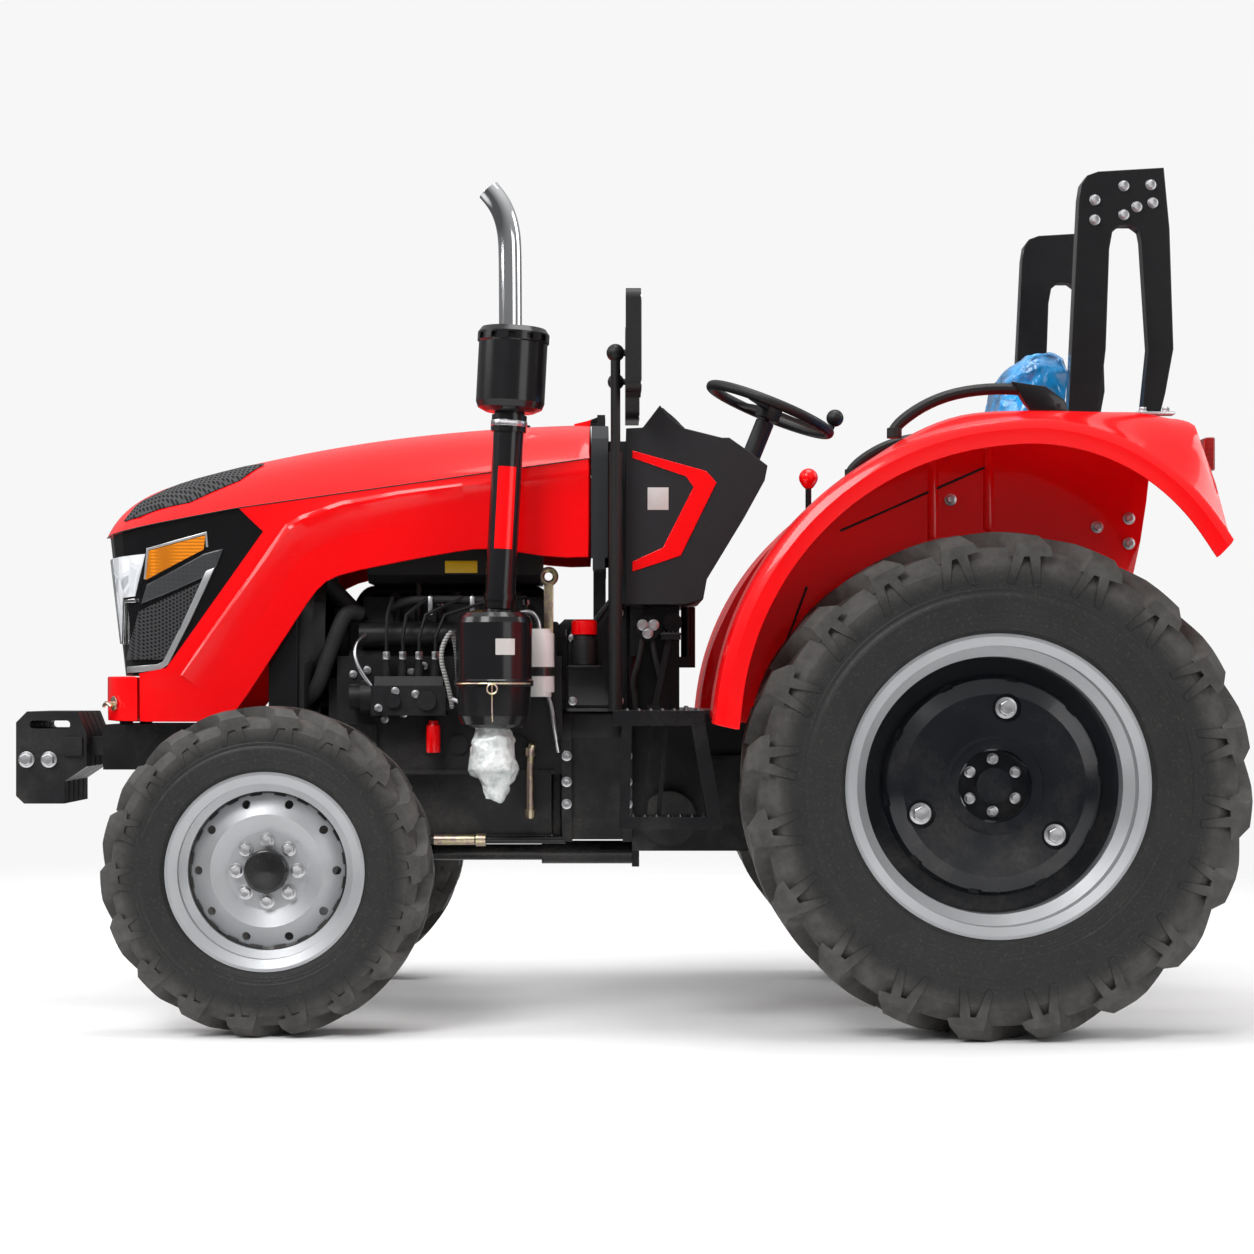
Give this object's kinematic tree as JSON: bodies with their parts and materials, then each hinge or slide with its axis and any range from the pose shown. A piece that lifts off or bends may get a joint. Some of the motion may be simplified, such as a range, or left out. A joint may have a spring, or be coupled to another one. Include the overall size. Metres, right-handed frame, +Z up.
{
  "type": "farm tractor",
  "caption": "Compact farm tractor with an open driver's station, tilting hood, steered front wheels, lugged tyres, safety arches and a rear lift hitch.",
  "frame": {"origin": "middle of the ground rectangle under the whole tractor", "axes": "+X forward to the nose, +Y to the driver's left, +Z up from the ground"},
  "size_m": [3.276, 1.684, 2.3521],
  "materials": {
    "black_paint": "rough 0.40 metal 0.0",
    "red_paint": "rough 0.25 metal 0.0",
    "grey_plastic": "rough 0.55 metal 0.0",
    "black_plastic": "rough 0.50 metal 0.0",
    "tyre_rubber": "rough 0.80 metal 0.0",
    "silver_paint": "rough 0.35 metal 0.0",
    "cast_black": "rough 0.45 metal 0.0",
    "engine_black": "rough 0.50 metal 0.0",
    "plated_steel": "rough 0.35 metal 1.0",
    "chrome": "rough 0.08 metal 1.0",
    "white_paint": "rough 0.35 metal 0.0",
    "clear_lens": "rough 0.05 metal 0.0",
    "amber_lens": "rough 0.08 metal 0.0",
    "red_lens": "rough 0.10 metal 0.0",
    "blue_film": "rough 0.25 metal 0.0",
    "clear_film": "rough 0.20 metal 0.0"
  },
  "bodies": {
    "chassis": {"front_frame": "black_paint", "front_weights": "cast_black", "front_axle": "cast_black", "engine": "engine_black", "fuel_tank": "black_plastic", "injection_pump": "engine_black", "oil_filter": "white_paint", "radiator": "black_paint", "gearbox": "cast_black", "rear_axle": "cast_black", "drive_shaft": "black_paint", "drawbar": "black_paint", "hood_band": "grey_plastic", "console": "grey_plastic", "console_stripes": "red_paint", "air_cleaner": "black_paint", "intake_stack": "black_paint", "fuel_bowl": "clear_film", "muffler": "black_paint", "exhaust_tip": "chrome", "platform": "black_paint", "controls": "black_paint", "mirrors": "black_plastic", "fender_left": "red_paint", "fender_right": "red_paint", "tail_lamps": "red_lens", "grab_rails": "black_plastic", "safety_arches": "black_paint", "seat_base": "black_paint", "seat": "blue_film", "console_pedestal": "black_paint"},
    "hood": {"hood_top": "red_paint", "hood_side_left": "red_paint", "hood_side_right": "red_paint", "nose_panel": "red_paint", "nose_mask": "black_plastic", "headlamps": "clear_lens", "turn_lamps": "amber_lens", "grille": "black_plastic"},
    "steering_wheel": {"steering_wheel": "black_plastic"},
    "knuckle_left": {"knuckle_left": "cast_black"},
    "knuckle_right": {"knuckle_right": "cast_black"},
    "tie_rod": {"tie_rod": "plated_steel"},
    "front_wheel_left": {"front_tyre_left": "tyre_rubber", "front_rim_left": "silver_paint"},
    "front_wheel_right": {"front_tyre_right": "tyre_rubber", "front_rim_right": "silver_paint"},
    "rear_wheel_left": {"rear_tyre_left": "tyre_rubber", "rear_rim_left": "silver_paint", "rear_weight_left": "cast_black"},
    "rear_wheel_right": {"rear_tyre_right": "tyre_rubber", "rear_rim_right": "silver_paint", "rear_weight_right": "cast_black"},
    "lift_arms": {"lift_arms": "cast_black"},
    "lift_rods": {"lift_rods": "black_paint"},
    "lower_links": {"lower_links": "black_paint"}
  },
  "joints": [
    {"name": "front_spin_left", "type": "hinge", "parent": "knuckle_left", "child": "front_wheel_left", "pos_m": [0.88199, 0.635, 0.414], "axis": [0, 1, 0], "continuous": true},
    {"name": "front_spin_right", "type": "hinge", "parent": "knuckle_right", "child": "front_wheel_right", "pos_m": [0.88199, -0.635, 0.414], "axis": [0, 1, 0], "continuous": true},
    {"name": "rear_spin_left", "type": "hinge", "parent": "chassis", "child": "rear_wheel_left", "pos_m": [-0.93801, 0.67, 0.63], "axis": [0, 1, 0], "continuous": true},
    {"name": "rear_spin_right", "type": "hinge", "parent": "chassis", "child": "rear_wheel_right", "pos_m": [-0.93801, -0.67, 0.63], "axis": [0, 1, 0], "continuous": true},
    {"name": "steer_left", "type": "hinge", "parent": "chassis", "child": "knuckle_left", "pos_m": [0.88199, 0.49, 0.414], "axis": [0, 0, 1], "range_deg": [-40, 40]},
    {"name": "steer_right", "type": "hinge", "parent": "chassis", "child": "knuckle_right", "pos_m": [0.88199, -0.49, 0.414], "axis": [0, 0, 1], "range_deg": [-40, 40]},
    {"name": "tie_rod_swing", "type": "hinge", "parent": "knuckle_left", "child": "tie_rod", "pos_m": [0.70199, 0.49, 0.34], "axis": [0, 0, 1], "range_deg": [-40, 40]},
    {"name": "steering_wheel_turn", "type": "hinge", "parent": "chassis", "child": "steering_wheel", "pos_m": [-0.42201, 0, 1.647], "axis": [-0.3746, 0, 0.9272], "range_deg": [-480, 480]},
    {"name": "hood_tilt", "type": "hinge", "parent": "chassis", "child": "hood", "pos_m": [0.04699, 0, 1.616], "axis": [0, -1, 0], "range_deg": [0, 50]},
    {"name": "hitch_lift", "type": "hinge", "parent": "chassis", "child": "lift_arms", "pos_m": [-1.01801, 0, 0.95], "axis": [0, 1, 0], "range_deg": [-30, 14]},
    {"name": "lift_rod_swing", "type": "hinge", "parent": "lift_arms", "child": "lift_rods", "pos_m": [-1.30639, 0, 1.03269], "axis": [0, 1, 0], "range_deg": [-14, 30]},
    {"name": "lower_link_lift", "type": "hinge", "parent": "chassis", "child": "lower_links", "pos_m": [-1.01801, 0, 0.42], "axis": [0, 1, 0], "range_deg": [-30, 14]}
  ],
  "couplings": [
    {"joint": "steer_right", "follows": "steer_left", "ratio": 1},
    {"joint": "tie_rod_swing", "follows": "steer_left", "ratio": -1},
    {"joint": "steering_wheel_turn", "follows": "steer_left", "ratio": 12},
    {"joint": "lower_link_lift", "follows": "hitch_lift", "ratio": 1},
    {"joint": "lift_rod_swing", "follows": "hitch_lift", "ratio": -1}
  ]
}
